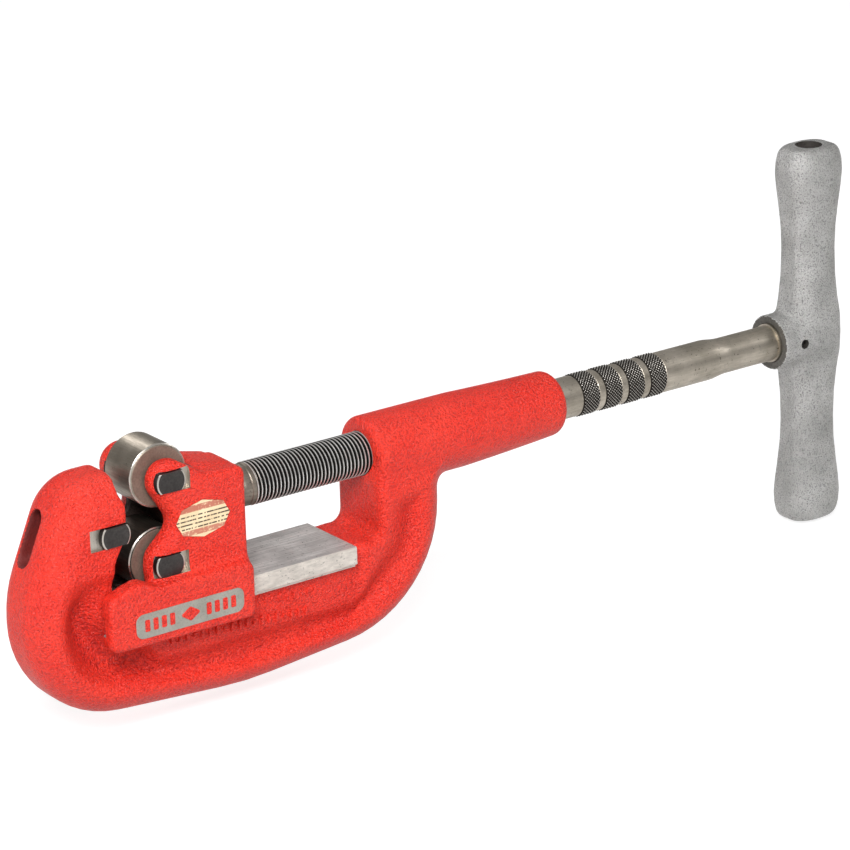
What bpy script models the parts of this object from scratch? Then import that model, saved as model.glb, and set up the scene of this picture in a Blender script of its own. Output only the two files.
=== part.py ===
"""Heavy-duty pipe cutter: a C-shaped iron frame with a cutter wheel at its hook, a slide with two
rolls on the frame's rail, and a feed screw with a T-handle. Sizes are in millimetres, from the
screw's axis, with +X towards the handle. The parent empty moves the whole tool so that its
lowest, middle point is the origin."""

import math

import bmesh
import bpy
from mathutils import Matrix, Vector

MM = 0.001

# Driving dimensions
FRAME_HALF = 20.0            # half the casting's width
FRAME_LEFT = -163.4
HOOK_TOP = 26.5
UPRIGHT_LEFT, UPRIGHT_RIGHT = 27.5, 67.9
THROAT_WALL = -118.5
RIM_ROUND, INNER_ROUND = 17.0, 3.5   # the casting's outer edges, and those round its opening
WING_HALF = 17.2             # the casting beside the wings of the slide
WEB_HALF = 8.0               # half the thickness of the web between the rims
RAIL_TOP, RAIL_THICK = -37.6, 9.0
RAIL_HALF, RAIL_RIGHT = 21.0, 11.0
BARREL_R, BARREL_TIP_R, BARREL_RIGHT = 18.6, 16.2, 144.5
NUT_R, NUT_RIGHT = 14.5, 66.0

WHEEL_X, WHEEL_R, WHEEL_HALF = -120.6, 15.6, 9.3
UPPER_ROLL = (-91.2, 20.0)
LOWER_ROLL = (-93.8, -20.0)
ROLL_R, ROLL_HALF = 15.0, 12.0
PIN_R, HEAD_R, HEAD_FLAT, HEAD_THICK = 4.75, 7.5, 4.75, 3.0

CHEEK_HALF, CHEEK_GAP = 22.0, 12.4
SLIDE_RIGHT = -51.5
SKIRT_LEFT, SKIRT_RIGHT = -129.5, -50.5
SKIRT_OUT, SKIRT_LOW = 28.0, -55.0
NOSE_R, NOSE_LEFT = 8.2, -72.0

THREAD_R, THREAD_LEFT, THREAD_RIGHT = 10.7, -40.0, 86.0
SHANK_R, KNURL_R, NECK_R = 10.4, 11.0, 9.2
KNURL_STARTS, KNURL_LONG = (157.6, 171.9, 186.2, 200.5), 10.6

HUB_LEFT, HUB_R, HANDLE_PIN_X = 287.3, 14.4, 299.5
BAR_X, BAR_HALF, BAR_FLATNESS = 313.6, 102.0, 0.76
BAR_HOLE_R, BAR_HOLE_DEEP = 7.0, 55.0
GAP = 0.3                    # between pieces that rest on each other

for old in list(bpy.data.objects):
    bpy.data.objects.remove(old, do_unlink=True)

TOOL = bpy.data.collections.new("pipe_cutter")
CUTTERS = bpy.data.collections.new("cutters")
bpy.context.scene.collection.children.link(TOOL)
bpy.context.scene.collection.children.link(CUTTERS)
CUTTERS.hide_render = True


# Materials

def material(name, colour, roughness, metallic):
    made = bpy.data.materials.new(name)
    made.use_nodes = True
    shader = made.node_tree.nodes["Principled BSDF"]
    shader.inputs["Base Color"].default_value = (*colour, 1)
    shader.inputs["Roughness"].default_value = roughness
    shader.inputs["Metallic"].default_value = metallic
    return made


RED = material("red_enamel", (0.86, 0.06, 0.04), 0.45, 0.0)
NUT_IRON = material("nut_iron", (0.30, 0.28, 0.26), 0.5, 1.0)
SCREW_STEEL = material("screw_steel", (0.42, 0.39, 0.35), 0.35, 1.0)
HANDLE_METAL = material("handle_metal", (0.55, 0.55, 0.55), 0.5, 1.0)
ROLL_STEEL = material("roll_steel", (0.28, 0.23, 0.19), 0.45, 1.0)
WHEEL_STEEL = material("wheel_steel", (0.12, 0.11, 0.10), 0.4, 1.0)
PIN_STEEL = material("pin_steel", (0.10, 0.09, 0.09), 0.5, 1.0)
CLIP_STEEL = material("clip_steel", (0.16, 0.15, 0.15), 0.45, 1.0)
LABEL_PAPER = material("label_paper", (0.85, 0.72, 0.48), 0.5, 0.0)


# Shapes

def finish(name, mesh_builder, paint=None, at=(0, 0, 0), parent=None, smooth=False):
    """The built mesh as a named object, or as a hidden cutter where it has no paint."""
    mesh = bpy.data.meshes.new(name)
    bmesh.ops.recalc_face_normals(mesh_builder, faces=mesh_builder.faces)
    mesh_builder.to_mesh(mesh)
    mesh_builder.free()
    piece = bpy.data.objects.new(name, mesh)
    piece.location = Vector(at) * MM
    piece.parent = parent or ROOT
    for face in mesh.polygons:
        face.use_smooth = smooth
    if paint:
        mesh.materials.append(paint)
        TOOL.objects.link(piece)
    else:
        CUTTERS.objects.link(piece)
        piece.hide_render = True
        piece.display_type = "WIRE"
    return piece


def rounded(corners, steps=6, inset=0.0):
    """The outline through (x, z, radius) corners, each rounded by an arc, drawn this far inside itself."""
    spots = [Vector(corner[:2]) for corner in corners]
    area = sum(a.cross(b) for a, b in zip(spots, spots[1:] + spots[:1]))
    points = []
    for i, (here, (_, _, radius)) in enumerate(zip(spots, corners)):
        before = (spots[i - 1] - here).normalized()
        after = (spots[(i + 1) % len(spots)] - here).normalized()
        half = before.angle(after) / 2
        if half > math.radians(89):
            points.append(here + Vector((after.y, -after.x)) * -math.copysign(inset, area))
            continue
        inward = (before + after).normalized()
        outer_corner = after.cross(before) * area > 0
        here = here + inward * (inset if outer_corner else -inset) / math.sin(half)
        if radius == 0:
            points.append(here)
            continue
        arc = radius - inset if outer_corner else radius + inset
        middle = here + inward * arc / math.sin(half)
        start = here + before * arc / math.tan(half) - middle
        turn = -start.angle_signed(here + after * arc / math.tan(half) - middle)
        count = max(2, math.ceil(steps * abs(turn) / (math.pi / 2) - 0.01))
        for step in range(count + 1):
            points.append(middle + Matrix.Rotation(turn * step / count, 2) @ start)
    return points


def lofted(corners, levels):
    """A solid through this rounded outline at each (place along Y, inset) level."""
    built = bmesh.new()
    rings = []
    for along, inset in levels:
        outline = rounded(corners, inset=inset)
        rings.append([built.verts.new(Vector((p[0], along, p[1])) * MM) for p in outline])
    for near, far in zip(rings, rings[1:]):
        for i in range(len(near)):
            built.faces.new((near[i - 1], near[i], far[i], far[i - 1]))
    built.faces.new(rings[0])
    built.faces.new(rings[-1])
    return built


def edge_levels(low, high, radius, steps=2):
    """The levels that round both rims of a plate; a negative radius widens them instead."""
    size = abs(radius)
    turns = [math.pi / 2 * step / steps for step in range(steps + 1)]
    rim = [(size * (1 - math.sin(turn)), radius * (1 - math.cos(turn))) for turn in reversed(turns)]
    return [(low + deep, inset) for deep, inset in rim] + [(high - deep, inset) for deep, inset in reversed(rim)]


def plate(corners, low, high, edge, steps=2):
    return lofted(corners, edge_levels(low, high, edge, steps))


def prism(outline, low, high, across="Y"):
    """A solid with this (x, z) outline between two places along Y, or this (y, z) outline along X."""
    built = bmesh.new()
    if across == "Y":
        corners = [built.verts.new(Vector((p[0], low, p[1])) * MM) for p in outline]
        way = Vector((0, high - low, 0)) * MM
    else:
        corners = [built.verts.new(Vector((low, p[0], p[1])) * MM) for p in outline]
        way = Vector((high - low, 0, 0)) * MM
    face = [built.faces.new(corners)]
    grown = bmesh.ops.extrude_face_region(built, geom=face)["geom"]
    moved = [v for v in grown if isinstance(v, bmesh.types.BMVert)]
    bmesh.ops.translate(built, verts=moved, vec=way)
    return built


def block(low, high):
    built = bmesh.new()
    bmesh.ops.create_cube(built, size=1)
    low, high = Vector(low) * MM, Vector(high) * MM
    bmesh.ops.scale(built, vec=high - low, verts=built.verts)
    bmesh.ops.translate(built, vec=(low + high) / 2, verts=built.verts)
    return built


TURNED = {"X": Matrix.Rotation(math.pi / 2, 4, "Y"), "Y": Matrix.Rotation(-math.pi / 2, 4, "X"),
          "Z": Matrix.Identity(4)}


def turned(profile, axis="X", sides=48):
    """A closed round solid about an axis through the origin, from (along, radius) points."""
    built = bmesh.new()
    rings = []
    for along, radius in profile:
        bmesh.ops.create_circle(built, segments=sides, radius=radius * MM,
                                matrix=Matrix.Translation((0, 0, along * MM)))
        built.verts.ensure_lookup_table()
        rings.append(built.verts[-sides:])
    for below, above in zip(rings, rings[1:]):
        edges = {e for v in below for e in v.link_edges if e.other_vert(v) in below}
        edges |= {e for v in above for e in v.link_edges if e.other_vert(v) in above}
        bmesh.ops.bridge_loops(built, edges=list(edges))
    bmesh.ops.contextual_create(built, geom=list(rings[0]))
    bmesh.ops.contextual_create(built, geom=list(rings[-1]))
    bmesh.ops.transform(built, matrix=TURNED[axis], verts=built.verts)
    return built


def rod(radius, low, high, axis="X", sides=32):
    return turned([(low, radius), (high, radius)], axis, sides)


def combine(piece, other, how):
    step = piece.modifiers.new(f"{how.lower()} {other.name}", "BOOLEAN")
    step.operation = how
    step.solver = "EXACT"
    step.object = other


def cut(piece, *others):
    for other in others:
        combine(piece, other, "DIFFERENCE")


def join(piece, *others):
    for other in others:
        combine(piece, other, "UNION")


# The frame: hook, lower beam, upright and barrel in one casting, with its machined rail

def frame_casting():
    room = RIM_ROUND + 1
    corners = [
        (-113.8 + room, HOOK_TOP, 0), (-143.3, HOOK_TOP, 20), (FRAME_LEFT, -26, 60), (FRAME_LEFT, -87.3, 46),
        (-112, -91.9, 100), (-48, -96.6, 180), (UPRIGHT_RIGHT, -86.0, 64), (UPRIGHT_RIGHT, -5, 0), (UPRIGHT_LEFT - room, -5, 0),
        (UPRIGHT_LEFT - room, RAIL_TOP + room, 0), (-113.8 + room, RAIL_TOP + room, 0)]
    piece = finish("frame", plate(corners, -FRAME_HALF, FRAME_HALF, RIM_ROUND, 4), RED)
    barrel = turned([(UPRIGHT_LEFT, BARREL_R - 4.5), (UPRIGHT_LEFT + 1.3, BARREL_R - 1.4),
                     (UPRIGHT_LEFT + 4.5, BARREL_R), (85, BARREL_R), (BARREL_RIGHT - 5, BARREL_TIP_R),
                     (BARREL_RIGHT - 1.2, BARREL_TIP_R - 1.3), (BARREL_RIGHT, BARREL_TIP_R - 3.6)])
    rail = block((THROAT_WALL - 0.5, -RAIL_HALF, RAIL_TOP - RAIL_THICK), (RAIL_RIGHT, RAIL_HALF, RAIL_TOP))
    cut(piece, window_cutter(), *web_recesses())
    join(piece, finish("barrel", barrel), finish("rail", rail))
    return piece


def window_cutter():
    """The throat and the window over the rail, widened towards both sides so that its edges are round."""
    wall_base = RAIL_TOP - 0.4
    corners = [
        (-113.8, 60, 0), (-113.8, 12, 20), (-113.8, -3, 12), (THROAT_WALL, -14, 12),
        (THROAT_WALL - 0.6, wall_base, 7), (UPRIGHT_LEFT, wall_base, 9), (UPRIGHT_LEFT, 60, 0)]
    levels = edge_levels(-FRAME_HALF, FRAME_HALF, -INNER_ROUND)
    levels = [(-30, -INNER_ROUND)] + levels + [(30, -INNER_ROUND)]
    return finish("window", lofted(corners, levels))


def web_recesses():
    """The hollow on each side of the casting, between its rims and under the rail."""
    under_rail = RAIL_TOP - RAIL_THICK
    outline = rounded([
        (-145, -22, 10), (-149, -46, 20), (-149, -76.5, 30), (-48, -83.6, 100), (53.5, -74.5, 44), (54, -24, 7),
        (37.5, -24, 7), (37.5, under_rail, 8), (RAIL_RIGHT + 1, under_rail - 0.01, 0),
        (-126, under_rail - 0.01, 0), (-126, -22, 0)])
    cutters = [finish("near_recess", prism(outline, -40, -WEB_HALF)),
               finish("far_recess", prism(outline, WEB_HALF, 40))]
    for side in (-1, 1):
        deep, out = sorted((side * WING_HALF, side * 40))
        wing_room = block((-146, deep, -60), (THROAT_WALL + 12, out, -21.5))
        cutters.append(finish(f"wing_room_{side}", wing_room))
        low_room = block((-130, deep, -58), (RAIL_RIGHT + 1, out, RAIL_TOP - 2))
        cutters.append(finish(f"lip_room_{side}", low_room))
    return cutters


def frame_openings():
    """The wheel's pocket, the chip slot behind it, the wheel pin's hole and seat, and the screw's bore."""
    pocket = finish("wheel_pocket", rod(WHEEL_R + 4.2, -WHEEL_HALF - 0.4, WHEEL_HALF + 0.4, "Y", 40),
                    at=(WHEEL_X, 0, 0))
    mouth = finish("pocket_mouth", block((WHEEL_X, -WHEEL_HALF - 0.4, -17.5), (-100, WHEEL_HALF + 0.4, 20.2)))
    slot = finish("chip_slot", prism(rounded([(-5.2, -14, 5.1), (5.2, -14, 5.1), (5.2, 15, 5.1),
                                              (-5.2, 15, 5.1)]), -175, -130, "X"))
    hole = finish("wheel_pin_hole", rod(PIN_R + 0.05, -40, 40, "Y", 24), at=(WHEEL_X, 0, 0))
    seat = finish("wheel_pin_seat", block((WHEEL_X - 14.5, -40, -HEAD_FLAT - 0.3),
                                          (-100, -FRAME_HALF + 2.6, HEAD_FLAT + 0.3)))
    spot = finish("wheel_clip_seat", rod(8, FRAME_HALF - 1.2, 40, "Y", 24), at=(WHEEL_X, 0, 0))
    bore = finish("screw_bore", rod(THREAD_R + 0.4, 10, 170))
    nut_bore = finish("nut_bore", rod(NUT_R + GAP, 10, NUT_RIGHT + GAP, sides=40))
    return [pocket, mouth, slot, hole, seat, spot, bore, nut_bore]


# The slide that carries the rolls

def slide_housing():
    (up_x, up_z), (low_x, low_z) = UPPER_ROLL, LOWER_ROLL
    ear = 9.2
    corners = [
        (up_x - ear, up_z + 8.4, 8), (up_x + 7, up_z + 8.4, 9), (-73, 20.8, 9), (SLIDE_RIGHT, 19.5, 5),
        (SLIDE_RIGHT, RAIL_TOP + GAP, 0), (low_x - 12, RAIL_TOP + GAP, 0), (low_x - ear, low_z - 6, 5),
        (low_x - ear, low_z + 9, 8), (-90.5, -4, 6), (-90.5, 5, 6), (up_x - ear, up_z - 8, 8)]
    piece = finish("slide_housing", plate(corners, -CHEEK_HALF, CHEEK_HALF, 2.4), RED)
    side_corners = [
        (SKIRT_RIGHT, -30, 4), (SKIRT_RIGHT, SKIRT_LOW, 4), (SKIRT_LEFT, SKIRT_LOW + 1.5, 5),
        (SKIRT_LEFT, -29, 4), (-113, -22.5, 6)]
    for side in (-1, 1):
        inner, outer = side * (RAIL_HALF - 3.4), side * SKIRT_OUT
        join(piece, finish(f"skirt_{side}", plate(side_corners, *sorted((inner, outer)), 1.8)))
    return piece


def slide_openings():
    channel = finish("rail_channel", block((-150, -RAIL_HALF - GAP, RAIL_TOP - RAIL_THICK - GAP),
                                           (-30, RAIL_HALF + GAP, RAIL_TOP + GAP)))
    cutters = [channel]
    for name, (x, z) in (("upper", UPPER_ROLL), ("lower", LOWER_ROLL)):
        inside = CHEEK_GAP
        cutters.append(finish(f"{name}_roll_room", rod(ROLL_R + 1.4, -inside, inside, "Y", 40), at=(x, 0, z)))
        cutters.append(finish(f"{name}_roll_mouth", block((x - 25, -inside, z - ROLL_R - 1.4 * (z > 0)),
                                                          (x, inside, z + ROLL_R + 1.4 * (z < 0)))))
        cutters.append(finish(f"{name}_pin_hole", rod(PIN_R + 0.05, -40, 40, "Y", 24), at=(x, 0, z)))
        seat = block((x - 8.2, -40, z - HEAD_FLAT - 0.3), (x + 11.8, -CHEEK_HALF + 2.6, z + HEAD_FLAT + 0.3))
        cutters.append(finish(f"{name}_pin_seat", seat))
        clip_seat = rod(PIN_R + 3.4, CHEEK_HALF - 0.4, 40, "Y", 28)
        cutters.append(finish(f"{name}_clip_seat", clip_seat, at=(x, 0, z)))
    above = block((-115, -CHEEK_GAP, UPPER_ROLL[1]), (-74.5, CHEEK_GAP, 40))
    between = block((-115, -CHEEK_GAP, LOWER_ROLL[1]), (-83.4, CHEEK_GAP, UPPER_ROLL[1]))
    nose_bore = rod(NOSE_R + 0.4, NOSE_LEFT - 3.7, -30, sides=36)
    cutters += [finish("roll_gap_above", above), finish("roll_gap_between", between),
                finish("nose_bore", nose_bore)]
    for sign in (-1, 1):
        hole = finish(f"retaining_hole_{sign}", rod(2.3, -6, 40, "Y", 20), at=(-61, 0, sign * 8.6))
        cutters.append(hole)
    label_seat = finish("label_seat", prism(label_outline(0.35), -CHEEK_HALF - 5, -CHEEK_HALF + 0.25),
                        at=(-75.3, 0, -1.5))
    return cutters + [label_seat]


def label_outline(margin):
    """The housing label's cartouche: straight top and bottom, with cut corners."""
    wide, high = 14.0 + margin, 9.0 + margin
    return [(-wide, -2.6), (-wide + 3, -6.2), (-3.2, -high), (3.2, -high), (wide - 3, -6.2), (wide, -2.6),
            (wide, 2.6), (wide - 3, 6.2), (3.2, high), (-3.2, high), (-wide + 3, 6.2), (-wide, 2.6)]


# Rolls, wheel, pins and clips

def tube_profile(half, outer, inner, edge):
    return [(-half, outer - edge), (-half + edge, outer), (half - edge, outer), (half, outer - edge)], inner


def roll(name, centre, parent):
    outside, inside = tube_profile(ROLL_HALF, ROLL_R, PIN_R + 0.05, 0.8)
    piece = finish(name, turned(outside, "Y", 56), ROLL_STEEL, parent=parent, smooth=False)
    hole = finish(f"{name}_hole", rod(inside, -30, 30, "Y", 28), parent=parent)
    cut(piece, hole)
    return piece


def cutter_wheel(parent):
    hub, blade = 7.6, 1.6
    profile = [(-WHEEL_HALF, hub - 0.8), (-WHEEL_HALF + 0.8, hub), (-blade - 1.6, hub), (-blade, hub + 1.6),
               (-0.15, WHEEL_R), (0.15, WHEEL_R), (blade, hub + 1.6), (blade + 1.6, hub),
               (WHEEL_HALF - 0.8, hub), (WHEEL_HALF, hub - 0.8)]
    piece = finish("cutter_wheel", turned(profile, "Y", 64), WHEEL_STEEL, parent=parent)
    cut(piece, finish("cutter_wheel_hole", rod(PIN_R + 0.05, -30, 30, "Y", 28), parent=parent))


def headed_pin(name, at, face, length):
    """A pin along Y: a head with two flats in its seat, and a groove for its clip at the far end."""
    head = [(face, HEAD_R - 0.6), (face + 0.6, HEAD_R), (face + HEAD_THICK, HEAD_R)]
    shaft, neck = PIN_R - 0.02, PIN_R - 1.2
    tail = face + HEAD_THICK + length
    profile = head + [(face + HEAD_THICK, shaft), (tail - 3.2, shaft), (tail - 3.2, neck), (tail - 1.4, neck),
                      (tail - 1.4, shaft), (tail - 0.5, shaft), (tail, shaft - 0.5)]
    spread = [(along + 0.001 * i, radius) for i, (along, radius) in enumerate(profile)]
    piece = finish(name, turned(spread, "Y", 40), PIN_STEEL, at=at)
    for sign, side in ((-1, "low"), (1, "top")):
        low, high = sorted((sign * HEAD_FLAT, sign * 20))
        flat = finish(f"{name}_{side}_flat", block((-20, face - 5, low), (20, face + HEAD_THICK + 0.3, high)),
                      at=at)
        cut(piece, flat)
    return tail - 2.3


def clip(name, at, middle):
    """A split ring that sits in a pin's groove, open downwards."""
    inner, outer, half = PIN_R - 0.8, PIN_R + 2.2, 0.6
    piece = finish(name, rod(outer, middle - half, middle + half, "Y", 36), CLIP_STEEL, at=at)
    hole = finish(f"{name}_hole", rod(inner, middle - 5, middle + 5, "Y", 28), at=at)
    split = finish(f"{name}_split", block((-2.4, middle - 5, -20), (2.4, middle + 5, 0)), at=at)
    cut(piece, hole, split)


# The screw and its handle

def feed_screw():
    neck, groove = SHANK_R, NOSE_R - 2.6
    profile = [(NOSE_LEFT, NOSE_R - 1), (NOSE_LEFT + 1, NOSE_R), (-63.6, NOSE_R), (-63.5, groove),
               (-58.5, groove), (-58.4, NOSE_R), (-50.0, NOSE_R), (-46.5, THREAD_R - 1.2),
               (THREAD_LEFT, THREAD_R - 0.4), (THREAD_LEFT + 0.4, THREAD_R), (THREAD_RIGHT, THREAD_R),
               (THREAD_RIGHT + 0.4, neck)]
    for start in KNURL_STARTS:
        profile += [(start, neck), (start + 0.5, KNURL_R), (start + KNURL_LONG - 0.5, KNURL_R),
                    (start + KNURL_LONG, neck)]
    profile += [(243, neck), (247, NECK_R + 0.3), (252, NECK_R), (HUB_LEFT + 22, NECK_R),
                (HUB_LEFT + 23, NECK_R - 1)]
    piece = finish("feed_screw", turned(profile, "X", 48), SCREW_STEEL)
    cut(piece, finish("screw_pin_hole", rod(2.35, -30, 30, "Y", 20), at=(HANDLE_PIN_X, 0, 0)))


def t_handle():
    half = BAR_HALF
    profile = [(-half, 12.9), (-half + 2.5, 15.2), (-half + 7, 17.0), (-half + 14, 17.9), (-half + 22, 17.4),
               (-half + 36, 15.6), (-half + 52, 14.3), (-half + 66, 14.3), (-half + 80, 15.4), (-14, 17.0)]
    profile += [(-along, radius) for along, radius in reversed(profile)]
    built = turned(profile, "Z", 40)
    bmesh.ops.scale(built, vec=(1, BAR_FLATNESS, 1), verts=built.verts)
    piece = finish("t_handle", built, HANDLE_METAL, at=(BAR_X, 0, 0))
    hub = turned([(HUB_LEFT, HUB_R - 0.6), (HUB_LEFT + 0.6, HUB_R), (BAR_X + 1, HUB_R)], "X", 36)
    join(piece, finish("hub", hub))
    cut(piece, finish("screw_socket", rod(NECK_R + GAP, 270, HUB_LEFT + 24, "X", 36)))
    cut(piece, finish("handle_pin_hole", rod(2.35, -30, 30, "Y", 20), at=(HANDLE_PIN_X, 0, 0)))
    for name, low, high in (("top", half - BAR_HOLE_DEEP, half + 10), ("bottom", -half - 10, BAR_HOLE_DEEP - half)):
        cut(piece, finish(f"{name}_hole", rod(BAR_HOLE_R, low, high, "Z", 28), at=(BAR_X, 0, 0)))


# Assembly

lift = BAR_HALF
slide_along = -(FRAME_LEFT + BAR_X + 17.9) / 2
ROOT = bpy.data.objects.new("pipe_cutter_base", None)
ROOT.location = Vector((slide_along, 0, lift)) * MM
bpy.context.scene.collection.objects.link(ROOT)


def axis_empty(name, x, z):
    """An empty on a turning piece's axis, for its parent."""
    empty = bpy.data.objects.new(name, None)
    empty.parent = ROOT
    empty.location = Vector((x, 0, z)) * MM
    bpy.context.scene.collection.objects.link(empty)
    return empty


cut(frame_casting(), *frame_openings())
finish("feed_nut", rod(NUT_R, UPRIGHT_LEFT + 0.2, NUT_RIGHT, sides=40), NUT_IRON)
cut(bpy.data.objects["feed_nut"], finish("nut_thread", rod(THREAD_R + 0.06, 10, 90, sides=48)))

cut(slide_housing(), *slide_openings())
finish("thrust_disc", rod(NOSE_R - 0.6, NOSE_LEFT - 3.3, NOSE_LEFT - GAP, sides=28), CLIP_STEEL)
for word, sign in (("upper", 1), ("lower", -1)):
    finish(f"{word}_retaining_pin", rod(2.2, -5.4, CHEEK_HALF - 0.5, "Y", 20), PIN_STEEL, at=(-61, 0, sign * 8.6))
finish("housing_label", prism(label_outline(0), -CHEEK_HALF - 0.05, -CHEEK_HALF + 0.2), LABEL_PAPER,
       at=(-75.3, 0, -1.5))

roll("upper_roll", UPPER_ROLL, axis_empty("upper_roll_axis", *UPPER_ROLL))
roll("lower_roll", LOWER_ROLL, axis_empty("lower_roll_axis", *LOWER_ROLL))
cutter_wheel(axis_empty("cutter_wheel_axis", WHEEL_X, 0))
for word, centre in (("upper_roll", UPPER_ROLL), ("lower_roll", LOWER_ROLL)):
    place = (centre[0], 0, centre[1])
    groove = headed_pin(f"{word}_pin", place, -CHEEK_HALF - 0.7, 2 * CHEEK_HALF + 1.0)
    clip(f"{word}_clip", place, groove)
groove = headed_pin("wheel_pin", (WHEEL_X, 0, 0), -FRAME_HALF - 0.7, 2 * FRAME_HALF - 0.2)
clip("wheel_clip", (WHEEL_X, 0, 0), groove)

feed_screw()
t_handle()
finish("handle_pin", rod(2.2, -14.6, 14.6, "Y", 20), PIN_STEEL, at=(HANDLE_PIN_X, 0, 0))
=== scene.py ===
"""The looks of the pipe cutter: its castings, screw, rolls, pins and T-handle in detail, with their
materials, on a pale floor in soft light. Sizes are in millimetres from the screw's axis, with +X
towards the handle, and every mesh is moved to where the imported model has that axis."""

import math

import bmesh
import bpy
import numpy as np
from mathutils import Matrix, Vector


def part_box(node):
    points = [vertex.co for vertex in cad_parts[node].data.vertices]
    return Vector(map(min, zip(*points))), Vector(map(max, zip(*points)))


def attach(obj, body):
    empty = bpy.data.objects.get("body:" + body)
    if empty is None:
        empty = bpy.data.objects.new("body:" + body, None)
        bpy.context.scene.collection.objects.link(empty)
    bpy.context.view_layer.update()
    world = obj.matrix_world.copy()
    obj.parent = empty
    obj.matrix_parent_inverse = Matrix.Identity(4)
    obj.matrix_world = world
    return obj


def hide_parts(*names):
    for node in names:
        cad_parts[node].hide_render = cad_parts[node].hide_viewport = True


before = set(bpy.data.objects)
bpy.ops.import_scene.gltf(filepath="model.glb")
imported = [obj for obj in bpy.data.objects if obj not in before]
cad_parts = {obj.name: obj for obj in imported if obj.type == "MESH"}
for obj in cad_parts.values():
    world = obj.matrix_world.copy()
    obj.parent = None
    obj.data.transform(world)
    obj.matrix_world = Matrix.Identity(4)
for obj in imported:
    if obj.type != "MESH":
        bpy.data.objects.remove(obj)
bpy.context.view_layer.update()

MM = 0.001
FRAME_LOW, SCREW_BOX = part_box("frame")[0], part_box("feed_screw")
ZERO = Vector((FRAME_LOW.x + 163.4 * MM, 0, (SCREW_BOX[0].z + SCREW_BOX[1].z) / 2))

# Driving dimensions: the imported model's, but for the pin heads, cheeks, skirt and bar
FRAME_HALF, NEAR_ROUND, FAR_ROUND = 20.0, 17.0, 14.0
THROAT_X, UPRIGHT_LEFT, UPRIGHT_RIGHT = -118.5, 27.5, 67.9
RAIL_TOP, RAIL_THICK, RAIL_HALF, RAIL_RIGHT = -37.6, 9.0, 21.0, 11.0
BARREL_R, BARREL_TIP_R, BARREL_RIGHT = 18.6, 16.2, 144.5
WHEEL_X, WHEEL_R, WHEEL_HALF = -120.6, 15.6, 9.3
UPPER_ROLL, LOWER_ROLL = (-91.2, 20.0), (-93.8, -20.0)
ROLL_R, ROLL_HALF = 15.0, 12.0
PIN_R, HEAD_R, HEAD_FLAT, HEAD_THICK = 4.75, 7.9, 4.75, 3.0
CHEEK_HALF, CHEEK_GAP, CHEEK_RIGHT = 22.0, 12.6, -50.4
SKIRT_OUT, SKIRT_IN = 27.5, 17.6
THREAD_R, THREAD_ROOT, PITCH = 10.7, 9.35, 2.117
SHANK_R, KNURL_R, NECK_R = 10.4, 11.0, 9.2
HUB_LEFT, HUB_R, HANDLE_PIN_X = 287.3, 14.4, 299.5
BAR_X, BAR_HALF, CORED_DEEP = 313.6, 100.8, 55.0
SIDES = ((-1, "near"), (1, "far"))
PIN_FREE = 0.05                 # between a pin and its hole, on the radius
DOWEL_X, DOWEL_Z = -61, 8.6     # the pins that hold the screw's nose in the housing
LABEL_AT = (-74.8, 0, -1.6)
PRINT_PITCH = 1.95              # from one row of the label's print to the next


# Materials. The ways that a surface's fine lines run, as stretches of their pattern

EVEN, TURNED_ON_X, GROUND_ON_Y = (1, 1, 1), (0.08, 1, 1), (1, 0.06, 1)


def nodes_of(name):
    made = bpy.data.materials.new(name)
    made.use_nodes = True
    tree = made.node_tree
    return made, tree, tree.nodes["Principled BSDF"]


def feed(tree, socket, value):
    """Links another node's output to this input, or sets its value, where a colour is three numbers."""
    if isinstance(value, bpy.types.NodeSocket):
        tree.links.new(value, socket)
    elif socket.type == "RGBA":
        socket.default_value = (*value, 1)
    else:
        socket.default_value = value


def put(tree, shader, **inputs):
    for key, value in inputs.items():
        feed(tree, shader.inputs[key.replace("_", " ")], value)


def add(tree, kind, **inputs):
    node = tree.nodes.new(kind)
    put(tree, node, **inputs)
    return node


def noise(tree, where, scale, detail=3.0, roughness=0.55):
    made = add(tree, "ShaderNodeTexNoise", Vector=where, Scale=scale, Detail=detail, Roughness=roughness)
    return made.outputs["Fac"]


def ramp(tree, value, *stops):
    """A colour ramp from (place, colour) stops; a plain number stands for a grey."""
    node = tree.nodes.new("ShaderNodeValToRGB")
    tree.links.new(value, node.inputs["Fac"])
    marks = node.color_ramp.elements
    while len(marks) < len(stops):
        marks.new(0.5)
    for mark, (place, colour) in zip(marks, stops):
        grey = isinstance(colour, (int, float))
        mark.position, mark.color = place, (colour,) * 3 + (1,) if grey else (*colour, 1)
    return node.outputs["Color"]


def mixed(tree, how_much, first, second):
    node = tree.nodes.new("ShaderNodeMix")
    node.data_type = "RGBA"
    for number, value in ((0, how_much), (6, first), (7, second)):
        feed(tree, node.inputs[number], value)
    return node.outputs[2]


def parts_of(tree, vector):
    """The X, Y and Z of a vector, as three outputs."""
    return add(tree, "ShaderNodeSeparateXYZ", Vector=vector).outputs


def maths(tree, operation, first, second=0.5):
    node = tree.nodes.new("ShaderNodeMath")
    node.operation = operation
    for socket, value in zip(node.inputs, (first, second)):
        feed(tree, socket, value)
    return node.outputs[0]


def times(tree, first, second):
    return maths(tree, "MULTIPLY", first, second)


def bumped(tree, shader, *layers):
    """Chained bumps from (height, distance in mm, strength) layers."""
    normal = None
    for height, distance, strength in layers:
        bump = add(tree, "ShaderNodeBump", Height=height, Distance=distance * MM, Strength=strength)
        if normal:
            tree.links.new(normal, bump.inputs["Normal"])
        normal = bump.outputs["Normal"]
    tree.links.new(normal, shader.inputs["Normal"])
    if "Coat Normal" in shader.inputs:
        tree.links.new(normal, shader.inputs["Coat Normal"])


def object_place(tree, stretch=(1, 1, 1)):
    place = tree.nodes.new("ShaderNodeTexCoord").outputs["Object"]
    return add(tree, "ShaderNodeMapping", Vector=place, Scale=stretch).outputs["Vector"]


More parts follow.
